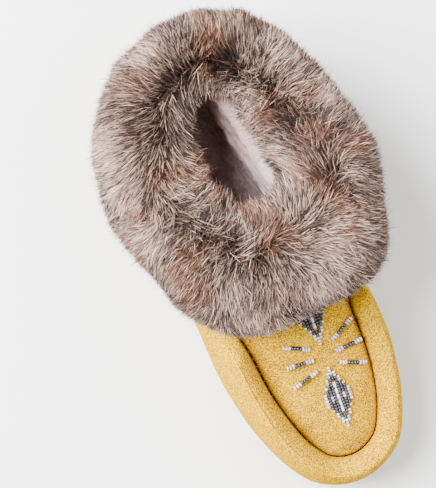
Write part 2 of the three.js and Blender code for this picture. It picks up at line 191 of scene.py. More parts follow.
# Sections of the wall from the sole up: shares inward and up
RIM_SECTION = (
    (0.18, 0.00), (0.05, 0.12), (0.00, 0.29), (0.03, 0.51), (0.13, 0.74),
    (0.29, 0.93), (0.46, 1.00), (0.73, 0.96), (0.95, 0.88), (1.02, 0.78),
)
QUARTER_SECTION = (
    (0.29, 0.00), (0.08, 0.11), (0.00, 0.24), (0.02, 0.37), (0.10, 0.50),
    (0.24, 0.62), (0.42, 0.74), (0.62, 0.84), (0.82, 0.93), (1.00, 1.00),
)

# Rays of beads: side, degrees outward, degrees of the middle ray, degrees between two
RAYS = (("left", 180, 169, 20.5), ("right", 0, -4, 25.5))

# Collar in plan: degrees round it from +X, shares of its reach to the inner and the outer edge
FUR_PLAN = (
    (0, 0.154, 0.649), (30, 0.181, 0.660), (60, 0.287, 0.739), (90, 0.351, 0.761),
    (120, 0.255, 0.750), (150, 0.207, 0.729), (180, 0.191, 0.745), (210, 0.218, 0.793),
    (225, 0.250, 0.894), (240, 0.282, 0.984), (255, 0.309, 0.989), (270, 0.330, 0.957),
    (285, 0.319, 1.000), (297, 0.298, 1.000), (312, 0.245, 0.862), (330, 0.191, 0.782),
)

# How the pile lies: degrees round the ring, degrees that the hairs swerve off straight outward, and
# the lap of the parting between outward and inward hairs
COMBING = (
    (0, -4, 117), (30, -10, 117), (60, 3, 118), (85, 3, 118), (105, -14, 118), (140, -38, 120),
    (162, -24, 120), (178, -16, 112), (193, -3, 99), (210, 3, 103), (236, 10, 107), (250, -8, 109),
    (268, -20, 111), (284, -29, 110), (305, -12, 106), (335, -5, 111), (360, -4, 117),
)

# Patches of colour in the pile: degrees round the ring, lap in degrees, radius in millimetres
PATCHES = {
    "dark": [(194, 99, 4.5), (200, 93, 4), (211, 103, 5), (307, 106, 6.5), (280, 110, 4), (14, 116, 5),
             (358, 118, 6), (54, 67, 5.5), (65, 118, 7), (350, 111, 6), (138, 83, 4), (343, 74, 5)],
    "rust": [(169, 103, 6), (165, 136, 6), (167, 147, 5), (22, 128, 6), (9, 130, 7), (119, 67, 8),
             (55, 45, 9), (10, 93, 7), (338, 100, 6), (227, 62, 8), (197, 124, 7), (207, 145, 6),
             (223, 134, 6), (254, 147, 7), (262, 72, 6), (189, 65, 7)],
    "pale": [(279, 88, 9), (274, 67, 11), (151, 49, 12), (161, 52, 12), (171, 50, 12), (198, 68, 8),
             (311, 135, 9), (104, 69, 8), (246, 54, 8), (359, 65, 9), (54, 162, 6), (241, 83, 8)],
}

# Random blotches beside the patches: strength, noise where one starts and is full, size, seed
BLOTCHES = {"rust": (0.75, 0.6, 0.78, 12, 21), "pale": (0.3, 0.55, 0.8, 18, 22),
            "dark": (0.45, 0.62, 0.8, 10, 23)}

# Linear colours
SUEDE_LIGHT = (0.86, 0.475, 0.005)
SUEDE_MID = (0.44, 0.232, 0.002)
SUEDE_DEEP = (0.17, 0.075, 0.0008)
SOLE_LIGHT = (0.50, 0.275, 0.003)
SOLE_DEEP = (0.28, 0.138, 0.001)
PILE_LIGHT = (0.66, 0.53, 0.60)
PILE_DEEP = (0.42, 0.31, 0.31)
HAIR_PALE = (0.74, 0.49, 0.39)
HAIR_TAN = (0.30, 0.175, 0.12)
HAIR_BROWN = (0.115, 0.066, 0.049)
HAIR_RUST = (0.26, 0.095, 0.045)
HAIR_DARK = (0.030, 0.018, 0.014)
HAIR_FLECK = (0.86, 0.84, 0.83)
UNDERFUR_LIGHT = (0.075, 0.048, 0.038)
UNDERFUR_DEEP = (0.022, 0.014, 0.011)
BEAD_WHITE = (0.74, 0.67, 0.66)
BEAD_PEARL = (0.36, 0.29, 0.29)
BEAD_BUGLE = (0.72, 0.66, 0.66)
BEAD_NIGHT = (0.012, 0.014, 0.022)
BEAD_STEEL = (0.045, 0.05, 0.07)
BEAD_CORD = (0.05, 0.028, 0.012)
THREAD_LIGHT = (0.34, 0.17, 0.02)
THREAD_DEEP = (0.16, 0.072, 0.008)
# Multipliers of painted shade: along the plug's seam and under the fur, on the plug's fold beside the seam,
# and inside the opening
SEAM_SHADE = (0.42, 0.30, 0.30)
PLUG_SHADE = (0.20, 0.12, 0.12)
PILE_SHADE = (0.68, 0.56, 0.48)
FLOOR_PALE = (0.93, 0.93, 0.93)
FLOOR_SHADE = (0.91, 0.91, 0.915)


def mix(a, b, share):
    return a + (b - a) * share


def smoothstep(start, end, value):
    t = np.clip((value - start) / (end - start), 0, 1)
    return t * t * (3 - 2 * t)


def unit(vectors):
    return vectors / np.maximum(np.linalg.norm(vectors, axis=-1, keepdims=True), 1e-9)


def smooth_curve(places, values):
    """Smooth curve through knots, as a function of an array of places."""
    places, values = np.asarray(places, float), np.asarray(values, float)
    index = np.arange(len(places))
    before, after = np.maximum(index - 1, 0), np.minimum(index + 1, len(places) - 1)
    slope = (values[after] - values[before]) / (places[after] - places[before])

    def at(place):
        i = np.clip(np.searchsorted(places[1:], place), 0, len(places) - 2)
        span = places[i + 1] - places[i]
        t = (place - places[i]) / span
        start = (1 + 2 * t) * (1 - t) ** 2 * values[i] + t * (1 - t) ** 2 * span * slope[i]
        end = t * t * (3 - 2 * t) * values[i + 1] + t * t * (t - 1) * span * slope[i + 1]
        return start + end

    return at


def lattice_noise(points, size, seed):
    """Smooth noise from 0 to 1, with features of about that size."""
    scaled = points / size + seed * 17.31
    cell = np.floor(scaled).astype(np.int64)
    t = scaled - cell
    t = t * t * (3 - 2 * t)
    total = np.zeros(points.shape[:-1])
    for corner in range(8):
        step = np.array([corner & 1, (corner >> 1) & 1, (corner >> 2) & 1])
        spot = cell + step
        mixed = spot[..., 0] * 73856093 ^ spot[..., 1] * 19349663 ^ spot[..., 2] * 83492791 ^ seed * 2654435
        mixed = (mixed ^ (mixed >> 13)) * 1274126177 & 0xFFFFFFF
        mixed = (mixed ^ (mixed >> 11)) & 0xFFFF
        weight = np.prod(np.where(step == 1, t, 1 - t), axis=-1)
        total += weight * mixed / 0xFFFF
    return total


def waver(points, size, seed):
    """The same noise, as much below zero as above."""
    return lattice_noise(points, size, seed) - 0.5


def grid(first, second):
    return np.meshgrid(first, second, indexing="ij")


def round_ring(whole, count):
    """Even steps round a ring, from 0 to just before the whole of it."""
    return np.linspace(0, whole, count + 1)[:-1]


def right_of(ahead):
    return np.stack([ahead[..., 1], -ahead[..., 0]], -1)


# Shape of the last and the upper
def share_along(place):
    return (1 - np.cos(np.pi * place)) / 2


def place_along(share):
    return np.arccos(1 - 2 * share) / np.pi


def make_roundness():
    along, half = np.array(OUTLINE).T
    places = place_along(along)
    shares = half / np.sin(np.pi * places)
    return smooth_curve([-places[0], *places, 2 - places[-1]], [shares[0], *shares, shares[-1]])


roundness = make_roundness()


def outline(place):
    place = np.asarray(place, float)
    mirrored = np.abs(np.where(place > 1, 2 - place, place))
    x = BALL_WIDTH / 2 * np.sin(np.pi * place) * roundness(mirrored)
    return np.stack([x, -FOOT_LENGTH / 2 * np.cos(np.pi * place)], -1)


def inset(place, distance):
    nudge = 0.004
    outward = right_of(unit(outline(place + nudge) - outline(place - nudge)))
    return outline(place) - outward * np.asarray(distance, float)[..., None]


def floor_height(y):
    along = y / FOOT_LENGTH + 0.5
    toe = np.maximum(0, 1 - along / 0.17) ** 2
    waist = np.clip((along - 0.54) / 0.2, 0, 1)
    heel = np.maximum(0, (along - 0.94) / 0.06) ** 2
    return TOE_SPRING * toe + ARCH_RISE * np.sin(np.pi * waist) ** 2 + HEEL_ROLL * heel


def sole_top(y):
    return floor_height(y) + SOLE_THICKNESS


def crest_height(along):
    rise = np.minimum(along / THROAT_AT, 1) ** 1.2
    back = smoothstep(THROAT_AT, 1, along)
    return mix(TOE_HEIGHT, INSTEP_HEIGHT, rise) + (HEEL_HEIGHT - INSTEP_HEIGHT) * back


def section_curves(rows):
    levels = np.linspace(0, 1, len(rows))
    return [smooth_curve(levels, shares) for shares in np.array(rows).T]


rim_inward, rim_up = section_curves(RIM_SECTION)
side_inward, side_up = section_curves(QUARTER_SECTION)


def quarter_share(place):
    return smoothstep(THROAT_AT - 0.04, THROAT_END + 0.03, share_along(place))


def skin(place, level):
    quarter = quarter_share(place)
    inward = mix(rim_inward(level) * RIM_WIDTH, side_inward(level) * COLLAR_LEAN, quarter)
    up = mix(rim_up(level), side_up(level), quarter)
    base = sole_top(inset(place, np.full(np.shape(place), FOOT_INSET))[..., 1]) + GAP
    spot = inset(place, inward)
    return np.stack([spot[..., 0], spot[..., 1], mix(base, crest_height(share_along(place)), up)], -1)


def skin_normal(place, level):
    nudge = 0.002
    round_ = skin(place + nudge, level) - skin(place - nudge, level)
    rise = skin(place, level + nudge) - skin(place, level - nudge)
    return unit(np.cross(round_, rise))


def off_skin(place, level, distance):
    return skin(place, level) + skin_normal(place, level) * np.asarray(distance, float)[..., None]


def level_at_height(share):
    levels = np.linspace(0, 1, 2001)
    return float(levels[np.searchsorted(side_up(levels), share)])


def tab_share():
    places = np.linspace(1, 0.8, 2001)
    return float(1 - places[np.argmax(outline(places)[:, 0] >= TAB_WIDTH / 2)])


band_seam, band_start, tab_half = level_at_height(SEAM_HEIGHT), float(place_along(BAND_FRONT)), tab_share()


# Plug
def make_plug_edge():
    """Edge of the rim's opening from throat to throat round the toe, and the plug's outline inside it."""
    places = np.linspace(-THROAT_PLACE, THROAT_PLACE, 2 * PLUG_STEPS + 1)
    side = np.abs(places)
    top = np.ones_like(side)
    candidates = [skin(side, top), off_skin(side, top, -WALL * top)]
    inward = [np.linalg.norm(outline(side) - c[:, :2], axis=1) for c in candidates]
    edge = np.where((inward[0] > inward[1])[:, None], *candidates)
    sign = np.where(places < 0, -1, 1)
    edge = np.stack([sign * edge[:, 0], edge[:, 1], crest_height(share_along(side))], -1)
    edge[PLUG_STEPS, 0] = 0
    return edge, edge[:, :2] - GAP * right_of(unit(np.gradient(edge[:, :2], axis=0)))


rim_edge, plug_outline = make_plug_edge()
half_edge = rim_edge[PLUG_STEPS:]
rim_rise = smooth_curve(half_edge[::4, 1], half_edge[::4, 2])
toe_edge = rim_edge[PLUG_STEPS, 1]


def edge_distance(x, y):
    """Distance inside the plug's edge, zero beyond it."""
    shape = np.shape(x)
    spots = np.stack([np.ravel(x), np.ravel(y)], -1)
    nearest = np.full(len(spots), 1e9)
    side = np.ones(len(spots))
    for start, end in zip(plug_outline[:-1:2], plug_outline[2::2]):
        line = end - start
        t = np.clip(((spots - start) @ line) / (line @ line), 0, 1)
        away = spots - start - t[:, None] * line
        distance = np.hypot(away[:, 0], away[:, 1])
        closer = distance < nearest
        nearest = np.where(closer, distance, nearest)
        turn = line[0] * (spots[:, 1] - start[1]) - line[1] * (spots[:, 0] - start[0])
        side = np.where(closer, np.sign(turn), side)
    return np.maximum(nearest * side, 0).reshape(shape)


def seam_depth(x, y):
    """How deep the plug's seam is: full along the sides, faint round the toe."""
    left, right = (mix(faint, 1, smoothstep(start, full, y))
                   for faint, start, full in (SEAM_LEFT, SEAM_RIGHT))
    return mix(right, left, smoothstep(*INNER_SIDE, x))


def plug_height(x, y, rolled=True):
    distance = edge_distance(x, y)
    inside = np.minimum(distance / PLUG_ROLL_REACH, 1)
    height = rim_rise(np.maximum(y, toe_edge)) - PLUG_DROP - PLUG_ROLL * (1 - inside) ** 2
    if rolled:
        radius = PLUG_EDGE_RADIUS * mix(0.3, 1, seam_depth(x, y))
        short = np.clip(radius - distance, 0, radius)
        height = height - radius + np.sqrt(radius ** 2 - short ** 2)
    return height


# Meshes
def add_object(name, data):
    made = bpy.data.objects.new(name, data)
    bpy.context.scene.collection.objects.link(made)
    return made


def set_colours(mesh, name, colours):
    layer = mesh.color_attributes.new(name, "FLOAT_COLOR", "POINT")
    rgba = np.concatenate([colours, np.ones((len(colours), 1))], axis=1)
    layer.data.foreach_set("color", rgba.astype(np.float32).ravel())


def shades(deep, share):
    """Multipliers of painted shade, from a deep colour at 0 to none at 1."""
    share = np.asarray(share, float)[..., None]
    return (np.array(deep) * (1 - share) + share).reshape(-1, 3)


def add_piece(name, points, faces, material, slot, replaces=(), face_materials=None, painted_light=(1, 1, 1)):
    """A mesh from millimetre points and arrays of triangles or quads, riding with the slipper."""
    groups = [np.asarray(group, np.int64) for group in faces if len(group)]
    counts = np.concatenate([np.full(len(group), group.shape[1]) for group in groups])
    corners = np.concatenate([group.ravel() for group in groups])
    mesh = bpy.data.meshes.new(name)
    mesh.vertices.add(len(points))
    mesh.vertices.foreach_set("co", (np.asarray(points) * MM).astype(np.float32).ravel())
    mesh.loops.add(len(corners))
    mesh.loops.foreach_set("vertex_index", corners.astype(np.int32))
    mesh.polygons.add(len(counts))
    starts = np.concatenate([[0], np.cumsum(counts)[:-1]])
    mesh.polygons.foreach_set("loop_start", starts.astype(np.int32))
    mesh.polygons.foreach_set("loop_total", counts.astype(np.int32))
    mesh.polygons.foreach_set("use_smooth", np.full(len(counts), True))
    materials = material if isinstance(material, list) else [material]
    for each in materials:
        mesh.materials.append(each)
    if face_materials is not None:
        mesh.polygons.foreach_set("material_index", np.asarray(face_materials, np.int32))
    mesh.update()
    mesh.validate()
    # Colour of painted shade and highlight, none by default, that the suede and pile multiply
    if painted_light is not None:
        set_colours(mesh, "painted_light", np.broadcast_to(painted_light, (len(points), 3)))
    piece = add_object(name, mesh)
    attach(piece, "root")
    if replaces:
        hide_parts(*replaces)
    return piece


# Corners of a quad in the order that turns it over
TURNED_OVER = [0, 3, 2, 1]


def grid_faces(rows, columns, ring=False, tube=False):
    """Quads over a grid of points, closed round its rows for a ring and its columns for a tube."""
    i, j = grid(np.arange(rows if ring else rows - 1), np.arange(columns if tube else columns - 1))
    ahead, beside = (i + 1) % rows, (j + 1) % columns
    return np.stack([i * columns + j, ahead * columns + j,
                     ahead * columns + beside, i * columns + beside], -1).reshape(-1, 4)


def closed_sheet(top, under):
    """Points and quads of a closed sheet between two grids of points."""
    rows, columns = top.shape[:2]
    count = rows * columns
    faces = [grid_faces(rows, columns), grid_faces(rows, columns)[:, ::-1] + count]
    across, down, last = np.arange(rows - 1) * columns, np.arange(columns - 1), (rows - 1) * columns
    for a, b in ((across, across + columns), (across + 2 * columns - 1, across + columns - 1),
                 (down + 1, down), (last + down, last + down + 1)):
        faces.append(np.stack([a + count, b + count, b, a], -1))
    return np.concatenate([top.reshape(-1, 3), under.reshape(-1, 3)]), faces


def join(parts):
    """Several (points, faces) as one."""
    points, faces, start = [], [], 0
    for part_points, part_faces in parts:
        points.append(part_points)
        faces.extend(np.asarray(group) + start for group in part_faces)
        start += len(part_points)
    return np.concatenate(points), faces


def loaf(rows, stations):
    """Closed loft through rows of (inward, rise off the floor line), with caps that run across the foot."""
    places = round_ring(2, 2 * stations)
    count = len(places)
    rings = []
    for inward, rise in rows:
        spot = inset(places, np.full(count, float(inward)))
        rings.append(np.column_stack([spot, floor_height(spot[:, 1]) + rise]))
    i = np.arange(1, stations - 1)
    strips = np.stack([i, i + 1, count - i - 1, count - i], -1)
    ends = np.array([[0, 1, count - 1], [stations, stations + 1, stations - 1]])
    last = (len(rows) - 1) * count
    sides = grid_faces(len(rows), count, tube=True)[:, TURNED_OVER]
    return np.concatenate(rings), [sides, strips[:, ::-1], ends[:, ::-1], last + strips, last + ends]


# Materials
def noise_node(tree, size, detail, rough):
    """Noise with features of about that size in millimetres."""
    node = tree.nodes.new("ShaderNodeTexNoise")
    for socket, value in (("Scale", 1 / (size * MM)), ("Detail", detail), ("Roughness", rough)):
        node.inputs[socket].default_value = value
    coordinates = tree.nodes.new("ShaderNodeTexCoord")
    tree.links.new(coordinates.outputs["Object"], node.inputs["Vector"])
    return node.outputs["Fac"]


def ramp_node(tree, source, stops):
    """Colours at places along a value."""
    node = tree.nodes.new("ShaderNodeValToRGB")
    elements = node.color_ramp.elements
    while len(elements) < len(stops):
        elements.new(0.5)
    for element, (place, colour) in zip(elements, stops):
        element.position = place
        element.color = (*colour, 1)
    tree.links.new(source, node.inputs["Fac"])
    return node.outputs["Color"]


def mix_node(tree, share, first, second, blend="MIX"):
    node = tree.nodes.new("ShaderNodeMix")
    node.data_type = "RGBA"
    node.blend_type = blend
    node.inputs[0].default_value = share
    tree.links.new(first, node.inputs[6])
    tree.links.new(second, node.inputs[7])
    return node.outputs[2]


def make_material(name, layers, sockets, share=0.5, relief=None, carried=None):
    """Layers are a noise's size, detail and roughness and its stops of place and colour, the second one
    mixed in by its share. Relief is the strength and depth of the first one's bumps, sockets hold plain
    values of the shader, and carried names a colour of the mesh that multiplies the rest."""
    material = bpy.data.materials.new(name)
    material.use_nodes = True
    tree = material.node_tree
    shader = tree.nodes["Principled BSDF"]
    noises = [noise_node(tree, *noise) for noise, _ in layers]
    colours = [ramp_node(tree, noise, stops) for noise, (_, stops) in zip(noises, layers)]
    colour = colours[0] if len(colours) == 1 else mix_node(tree, share, *colours)
    if carried:
        own = tree.nodes.new("ShaderNodeVertexColor")
        own.layer_name = carried
        colour = mix_node(tree, 1, colour, own.outputs["Color"], "MULTIPLY")
    tree.links.new(colour, shader.inputs["Base Color"])
    if relief:
        bump = tree.nodes.new("ShaderNodeBump")
        bump.inputs["Strength"].default_value = relief[0]
        bump.inputs["Distance"].default_value = relief[1] * MM
        tree.links.new(noises[0], bump.inputs["Height"])
        tree.links.new(bump.outputs["Normal"], shader.inputs["Normal"])
    for socket, value in sockets.items():
        shader.inputs[socket].default_value = value
    return material


def nap_material(name, deep, mid, light, nap, patch):
    """Short brushed nap: fine speckle over soft patches."""
    speckle = (nap, 1.5, 0.5), ((0.43, deep), (0.5, mid), (0.57, light))
    patches = (patch, 2, 0.5), ((0.35, mid), (0.65, light))
    # The mesh's painted shade and highlight multiply the nap's colour
    return make_material(name, (speckle, patches), {"Roughness": 0.95, "Specular IOR Level": 0},
                         share=0.16, relief=(0.8, 0.5), carried="painted_light")


def pile_material():
    """Curly pile of the lining and the footbed."""
    curls = (2.2, 3, 0.6), ((0.34, PILE_DEEP), (0.62, PILE_LIGHT))
    soft = (14, 1, 0.5), ((0.3, PILE_DEEP), (0.6, PILE_LIGHT))
    # The mesh's painted shadow multiplies the pile's colour
    return make_material("pile", (curls, soft), {"Roughness": 1}, relief=(0.8, 0.8), carried="painted_light")


def hair_material():
    """Colour from each hair's own tones, with a little noise along it."""
    flecks = (1.6, 2, 0.6), ((0.3, HAIR_FLECK), (0.7, (1, 1, 1)))
    return make_material("fur_hair", (flecks,), {"Roughness": 0.62, "Specular IOR Level": 0.3},
                         carried="hair_tone")


def underfur_material():
    wool = (2.4, 4, 0.7), ((0.35, UNDERFUR_DEEP), (0.7, UNDERFUR_LIGHT))
    return make_material("underfur", (wool,), {"Roughness": 1}, relief=(0.8, 1))


def bead_material(name, deep, light, metallic, rough):
    """Glass: tone that differs from bead to bead, under a clear gloss."""
    each = (1.3, 0, 0.5), ((0.36, deep), (0.62, light))
    return make_material(name, (each,), {"Roughness": rough, "Metallic": metallic, "Coat Weight": 0.6,
                                         "Coat Roughness": 0.08})


def thread_material():
    twist = (0.5, 2, 0.6), ((0.35, THREAD_DEEP), (0.65, THREAD_LIGHT))
    return make_material("thread", (twist,), {"Roughness": 0.7}, relief=(0.4, 0.1))


def floor_material():
    faint = (400, 1, 0.5), ((0.3, FLOOR_SHADE), (0.7, FLOOR_PALE))
    return make_material("pale_floor", (faint,), {"Roughness": 0.9, "Specular IOR Level": 0.1})


# Camera, light and floor
def add_camera():
    azimuth, elevation, roll = np.radians([CAMERA_AZIMUTH, CAMERA_ELEVATION, CAMERA_ROLL])
    level = np.cos(elevation)
    back = Vector((np.sin(azimuth) * level, -np.cos(azimuth) * level, np.sin(elevation)))
    flat_right = Vector((np.cos(azimuth), np.sin(azimuth), 0))
    flat_up = back.cross(flat_right)
    right = np.cos(roll) * flat_right + np.sin(roll) * flat_up
    up = np.cos(roll) * flat_up - np.sin(roll) * flat_right
    data = bpy.data.cameras.new("camera")
    data.lens = CAMERA_LENS
    data.clip_end = FAR_CLIP
    camera = add_object("camera", data)
    spot = (Vector(CAMERA_TARGET) + back * CAMERA_DISTANCE) * MM
    columns = Matrix((right, up, back)).transposed().to_4x4()
    camera.matrix_world = Matrix.Translation(spot) @ columns
    bpy.context.scene.camera = camera


def add_area_light(name, towards, power, size):
    data = bpy.data.lights.new(name, "AREA")
    data.shape = "DISK"
    data.size = size * MM
    data.energy = power
    light = add_object(name, data)
    direction = Vector(towards).normalized()
    light.location = (Vector(CAMERA_TARGET) + direction * KEY_DISTANCE) * MM
    light.rotation_mode = "QUATERNION"
    light.rotation_quaternion = direction.to_track_quat("Z", "Y")


def add_stage():
    world = bpy.data.worlds.new("studio")
    world.use_nodes = True
    sky = world.node_tree.nodes["Background"].inputs
    sky["Color"].default_value = (1, 1, 1, 1)
    sky["Strength"].default_value = SKY_STRENGTH
    bpy.context.scene.world = world
    add_area_light("key", KEY_TOWARDS, KEY_POWER, KEY_SIZE)
    add_area_light("fill", FILL_TOWARDS, FILL_POWER, 2 * KEY_SIZE)
    half = FLOOR_HALF * MM
    corners = [(-half, -half, 0), (half, -half, 0), (half, half, 0), (-half, half, 0)]
    mesh = bpy.data.meshes.new("floor")
    mesh.from_pydata(corners, [], [(0, 1, 2, 3)])
    mesh.materials.append(floor_material())
    floor = add_object("floor", mesh)


# Leather pieces
def undulation(points):
    """Soft unevenness of hand-sewn suede."""
    x, y, z = points[..., 0], points[..., 1], points[..., 2]
    slow = np.sin(y / 11 + 1.3 * np.sin(x / 17)) * np.sin(z / 9 + x / 23 + 0.7)
    return UNDULATION * (slow + 0.6 * np.sin(y / 5.3 + x / 7.1) * np.sin(z / 6.1 + 1.1))


def wall_ridge(place, level):
    """Fold along the rim, strongest on the inner side of the foot."""
    rim = (1 - quarter_share(place)) * np.where(place > 1, 1, RIDGE_OUTER)
    rim = rim * smoothstep(0.03, 0.12, np.minimum(place, 2 - place))
    return rim * np.exp(-(((level - RIDGE_LEVEL) * RIM_GIRTH / RIDGE_HALF) ** 2))


def wall_relief(place, level):
    trough = 0.2 * wall_ridge(place, (level - RIDGE_LEVEL - 0.035) / 1.6 + RIDGE_LEVEL)
    fade = smoothstep(0.0, 0.06, level) * smoothstep(1.0, 0.93, level)
    return RIDGE_HEIGHT * (wall_ridge(place, level) - trough) + fade * undulation(skin(place, level))


def add_upper(suede, pile):
    columns, inner_rows = 360, 20
    levels = np.unique(np.concatenate([np.linspace(0, 1, 58), np.linspace(0.615, 0.715, 22)]))
    places = round_ring(2, columns)
    place, level = grid(places, levels)
    outer = off_skin(place, level, wall_relief(place, level))
    inner_place, inner_level = grid(places, np.linspace(1, 0, inner_rows))
    inner = off_skin(inner_place, inner_level, np.full(inner_place.shape, -WALL))
    points = np.concatenate([outer, inner], axis=1)
    rows = points.shape[1]
    start = np.arange(columns) * rows
    ahead = np.roll(start, -1)
    under = np.stack([ahead, ahead + rows - 1, start + rows - 1, start], -1)
    inside = np.tile(np.arange(rows - 1) >= len(levels), columns)
    face_materials = np.concatenate([inside, np.zeros(columns, bool)]).astype(int)
    # Painted shade along the plug's seam and under the fur, and a painted highlight on the ridge
    rim = 1 - quarter_share(place)
    painted_shade = (1 - smoothstep(1.0, 0.87, level)) * rim * seam_depth(outer[..., 0], outer[..., 1])
    painted_shade = painted_shade + (1 - rim) * smoothstep(0.93, 0.98, level)
    ridge_highlight = wall_ridge(place, level) * smoothstep(30, -10, outer[..., 1])
    painted_shade, ridge_highlight = (np.pad(values, ((0, 0), (0, inner_rows))) for values in (painted_shade, ridge_highlight))
    tone = shades(SEAM_SHADE, 1 - painted_shade) * (1 + RIDGE_HIGHLIGHT * ridge_highlight.reshape(-1, 1))
    add_piece("upper_suede", points.reshape(-1, 3), [grid_faces(columns, rows, ring=True), under],
              [suede, pile], "suede", replaces=["upper"], face_materials=face_materials, painted_light=tone)


def add_plug(suede):
    rows, columns = 130, 92
    edge = plug_outline[PLUG_STEPS:]
    steps = np.arange(len(edge))
    along = np.linspace(0, 1, rows) ** 1.25 * steps[-1]
    edge_x, edge_y = (np.interp(along, steps, edge[:, axis]) for axis in (0, 1))
    edge_x[0] = np.interp(0.15, steps, edge[:, 0]) * 1.2
    share = np.linspace(-1, 1, columns)
    x = edge_x[:, None] * (0.6 * np.sin(np.pi / 2 * share) + 0.4 * share)
    y = np.repeat(edge_y[:, None], columns, axis=1)
    inside = edge_distance(x, y)
    top = plug_height(x, y)
    top = top + smoothstep(0, 6, inside) * undulation(np.stack([x, y, top], -1))
    points, faces = closed_sheet(np.stack([x, y, top], -1), np.stack([x, y, top - PLUG_THICKNESS], -1))
    # Painted shadow of the rim on the fold beside the seam, widest on the inner side of the foot
    reach = mix(2.6, 6.5, smoothstep(*INNER_SIDE, x)) * smoothstep(-116, -88, y) + 1
    seam_shadow = (1 - np.clip(inside / reach, 0, 1) ** 0.7) * mix(0.1, 1, seam_depth(x, y))
    add_piece("plug_suede", points, [group[:, ::-1] for group in faces], suede, "suede",
              replaces=["plug"], painted_light=shades(PLUG_SHADE, np.tile(1 - seam_shadow, (2, 1))))


def edge_dense(start, end, count, lip):
    """Values from start to end with close rows at both ends."""
    lip = np.sign(end - start) * lip
    inner = np.linspace(start + 2 * lip, end - 2 * lip, count)
    return np.concatenate([[start, start + 0.3 * lip, start + lip], inner, [end - lip, end - 0.3 * lip, end]])


def overlay(spans, counts, base, thickness):
    """A strip of leather over the wall from place to place and level to level, its edges turned down."""
    lips = (0.0035, 0.009)
    axes = [edge_dense(*span, count, lip) for span, count, lip in zip(spans, counts, lips)]
    place, level = grid(*axes)
    inside = np.minimum(*(np.minimum(value - start, end - value) / lip
                          for value, (start, end), lip in zip((place, level), spans, lips)))
    bulge = 0.25 * np.exp(-((inside - 1.2) ** 2))
    height = thickness * (0.9 * np.sqrt(1 - (1 - np.clip(inside, 0, 1)) ** 2) + 0.1) + bulge
    under = base + wall_relief(place, level)
    return closed_sheet(off_skin(place, level, under + height), off_skin(place, level, under))


def add_band(suede):
    band = overlay(((band_start, 2 - band_start), (band_seam, BAND_TOP)), (200, 14), GAP, BAND_THICKNESS)
    tab = overlay(((1 - tab_half, 1 + tab_half), (0.09, BAND_TOP)), (26, 34),
                  GAP + BAND_THICKNESS * 0.55, BAND_THICKNESS)
    add_piece("quarter_band_suede", *join([band, tab]), suede, "suede", replaces=["quarter_band"])


def add_outsole(suede):
    rows = [(SOLE_INSET + 9, 0)]
    for angle in np.linspace(0, np.pi / 2, 6):
        rows.append((SOLE_INSET + SOLE_EDGE * (1 - np.sin(angle)), SOLE_EDGE * (1 - np.cos(angle))))
    rows += [(SOLE_INSET - 0.25, SOLE_THICKNESS * 0.62), (SOLE_INSET, SOLE_THICKNESS - 0.5),
             (SOLE_INSET + 0.5, SOLE_THICKNESS), (SOLE_INSET + 6, SOLE_THICKNESS)]
    add_piece("outsole_suede", *loaf(rows, 160), suede, "sole_suede", replaces=["outsole"])


def pile_painted_shadow(points):
    """Painted shadow of the fur in the opening: darker towards the heel and the inner side of the foot,
    lighter towards the outer, and painted shade deeper down.
    """
    across = 0.88 * points[:, 0] - 0.45 * points[:, 1] + 6
    lit = smoothstep(-18, 14, across + 7 * waver(points, 7, 61))
    return shades(PILE_SHADE, lit * mix(0.7, 1, smoothstep(14, 50, points[:, 2])))


def add_insole(pile):
    inward = FOOT_INSET + WALL + GAP
    base = SOLE_THICKNESS + GAP
    top = base + INSOLE_THICKNESS
    rows = [(inward, base), (inward, top - 1.2), (inward + 0.4, top - 0.4), (inward + 1.4, top),
            (inward + 5, top + 0.3)]
    points, faces = loaf(rows, 90)
    # The footbed carries painted shadow of the fur
    add_piece("insole_pile", points, faces, pile, "pile", replaces=["insole"], painted_light=pile_painted_shadow(points))


def add_lining(pile):
    """Deep pile on the inside of the quarters, from the footbed up under the fur."""
    front = float(place_along(LINING_FRONT))
    places = np.linspace(front, 2 - front, 190)
    levels = np.concatenate([np.linspace(0.02, 0.2, 16), np.linspace(0.21, 0.99, 36)])
    place, level = grid(places, levels)
    wall = off_skin(place, level, np.full(place.shape, -WALL - 0.2))
    above = wall[..., 2] - sole_top(wall[..., 1]) - GAP - INSOLE_THICKNESS
    corner = np.clip(1 - above / CORNER_HEIGHT, 0, 1)
    depth = mix(*PILE_DEPTHS, smoothstep(0.55, 0.97, level)) + CORNER_REACH * (1 - np.sqrt(1 - corner ** 2))
    depth = depth * smoothstep(0, 0.05, place - front) * smoothstep(0, 0.05, 2 - front - place)
    tufts = TUFT_HEIGHT * (lattice_noise(wall, 3.0, 5) + 0.6 * lattice_noise(wall, 1.5, 6))
    towards = -skin_normal(place, level)
    towards[..., 2] *= 0.3
    inner = wall + unit(towards) * (depth + 0.3 + tufts * np.minimum(depth, 1))[..., None]
    points, faces = closed_sheet(wall, inner)
    # The lining carries painted shadow of the fur
    add_piece("lining_pile", points, faces, pile, "pile", painted_light=pile_painted_shadow(points))


# Beads
def lathe_bead(length, radius, hole=0.36, segments=10):
    """Rounded tube along X."""
    half = length / 2
    profile = np.array([
        (-half, hole), (-half, 0.64), (-half * 0.66, 0.93), (0, 1.0),
        (half * 0.66, 0.93), (half, 0.64), (half, hole), (0, hole * 0.92),
    ])
    angle = round_ring(2 * np.pi, segments)
    ring = np.stack([np.cos(angle), np.sin(angle)], -1)
    points = np.zeros((segments, len(profile), 3))
    points[..., 0] = profile[None, :, 0]
    points[..., 1:] = ring[:, None, :] * profile[None, :, 1, None] * radius
    return points.reshape(-1, 3), grid_faces(segments, len(profile), ring=True, tube=True)[:, TURNED_OVER]


